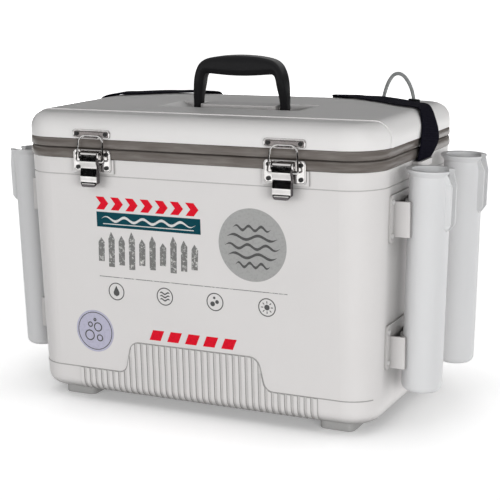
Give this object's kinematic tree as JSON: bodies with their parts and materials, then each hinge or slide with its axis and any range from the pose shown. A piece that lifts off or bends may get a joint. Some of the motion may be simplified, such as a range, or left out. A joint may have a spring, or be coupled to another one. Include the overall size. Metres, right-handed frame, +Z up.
{
  "type": "aerated bait bucket",
  "caption": "Insulated live-bait tank with a latched hinged lid, folding carry handle, side rod holders, shoulder strap and a battery air pump feeding an airstone.",
  "frame": {"origin": "on the ground, under the middle of the whole object's width and depth, the air line left out", "axes": "+X along the front to the right, the front faces -Y, +Z up"},
  "size_m": [0.6, 0.3788, 0.4272],
  "materials": {
    "white_plastic": "glossy injection-moulded white",
    "foot_plastic": "satin white",
    "liner_plastic": "smooth white",
    "foam": "closed-cell foam",
    "smoked_plastic": "smoked, half-clear",
    "gasket_rubber": "soft matt",
    "stainless": "polished stainless steel",
    "screw_steel": "plain stainless steel",
    "black_plastic": "satin black",
    "tube_plastic": "satin white, slightly blue",
    "strap_webbing": "woven webbing",
    "pump_plastic": "satin light grey",
    "pump_accent": "satin dark grey",
    "cell_wrap": "shrink-wrapped dry cell",
    "hose_silicone": "grey translucent silicone",
    "clear_pipe": "clear rigid pipe",
    "air_stone": "porous ceramic"
  },
  "bodies": {
    "root": {"air_down_tube": "clear_pipe", "air_hose": "hose_silicone", "airstone": "air_stone", "body_collar": "smoked_plastic", "feet": "foot_plastic", "fitting_nut": "pump_accent", "foam_core": "foam", "hinge_body_leaves": "stainless", "hinge_body_screws": "stainless", "hinge_pins": "stainless", "inner_liner": "liner_plastic", "latch_base_plates": "stainless", "latch_base_screws": "screw_steel", "latch_lever_pins": "stainless", "lower_bracket_screws": "screw_steel", "lower_rod_brackets": "white_plastic", "outer_shell": "white_plastic", "pump_battery_cells": "cell_wrap", "pump_battery_door": "pump_plastic", "pump_bracket": "pump_plastic", "pump_case_back": "pump_plastic", "pump_case_front": "pump_plastic", "pump_diaphragm_unit": "pump_plastic", "pump_motor": "screw_steel", "pump_outlet_nozzle": "pump_accent", "pump_shelf": "pump_plastic", "rod_holder_front_left": "tube_plastic", "rod_holder_front_right": "tube_plastic", "rod_holder_rear_left": "tube_plastic", "rod_holder_rear_right": "tube_plastic", "shoulder_strap": "strap_webbing", "strap_lugs": "white_plastic", "tube_clips": "pump_accent", "upper_bracket_screws": "screw_steel", "upper_rod_brackets": "white_plastic", "wall_fitting": "white_plastic"},
    "lid": {"lid_shell": "white_plastic", "lid_liner": "liner_plastic", "lid_foam": "foam", "lid_collar": "smoked_plastic", "lid_gasket": "gasket_rubber", "hinge_lid_leaves": "stainless", "hinge_lid_screws": "stainless", "latch_strikes": "stainless", "latch_strike_screws": "screw_steel", "handle_block": "white_plastic", "handle_pins": "stainless"},
    "handle": {"handle_frame": "black_plastic"},
    "pump_switch": {"pump_switch": "pump_accent"},
    "latch_lever_left": {"latch_lever_left": "stainless"},
    "latch_bail_left": {"latch_bail_left": "stainless"},
    "latch_lever_right": {"latch_lever_right": "stainless"},
    "latch_bail_right": {"latch_bail_right": "stainless"}
  },
  "joints": [
    {"name": "lid_hinge", "type": "hinge", "parent": "root", "child": "lid", "pos_m": [0, 0.13285, 0.3225], "axis": [-1, 0, 0], "range_deg": [0, 90], "deforming": ["shoulder_strap"]},
    {"name": "handle_hinge", "type": "hinge", "parent": "lid", "child": "handle", "pos_m": [0, -0.02185, 0.361], "axis": [1, 0, 0], "range_deg": [-56, 68]},
    {"name": "pump_switch_slide", "type": "slide", "parent": "root", "child": "pump_switch", "axis": [1, 0, 0], "range_m": [0, 0.005]},
    {"name": "latch_lever_left_swing", "type": "hinge", "parent": "root", "child": "latch_lever_left", "pos_m": [-0.1273, -0.17985, 0.315], "axis": [-1, 0, 0], "range_deg": [0, 125]},
    {"name": "latch_bail_left_swing", "type": "hinge", "parent": "latch_lever_left", "child": "latch_bail_left", "pos_m": [-0.1273, -0.17985, 0.308], "axis": [-1, 0, 0], "range_deg": [-150, 0]},
    {"name": "latch_lever_right_swing", "type": "hinge", "parent": "root", "child": "latch_lever_right", "pos_m": [0.1273, -0.17985, 0.315], "axis": [-1, 0, 0], "range_deg": [0, 125]},
    {"name": "latch_bail_right_swing", "type": "hinge", "parent": "latch_lever_right", "child": "latch_bail_right", "pos_m": [0.1273, -0.17985, 0.308], "axis": [-1, 0, 0], "range_deg": [-150, 0]}
  ],
  "couplings": [
    {"joint": "latch_bail_left_swing", "follows": "latch_lever_left_swing", "ratio": -1.2},
    {"joint": "latch_bail_right_swing", "follows": "latch_lever_right_swing", "ratio": -1.2}
  ]
}
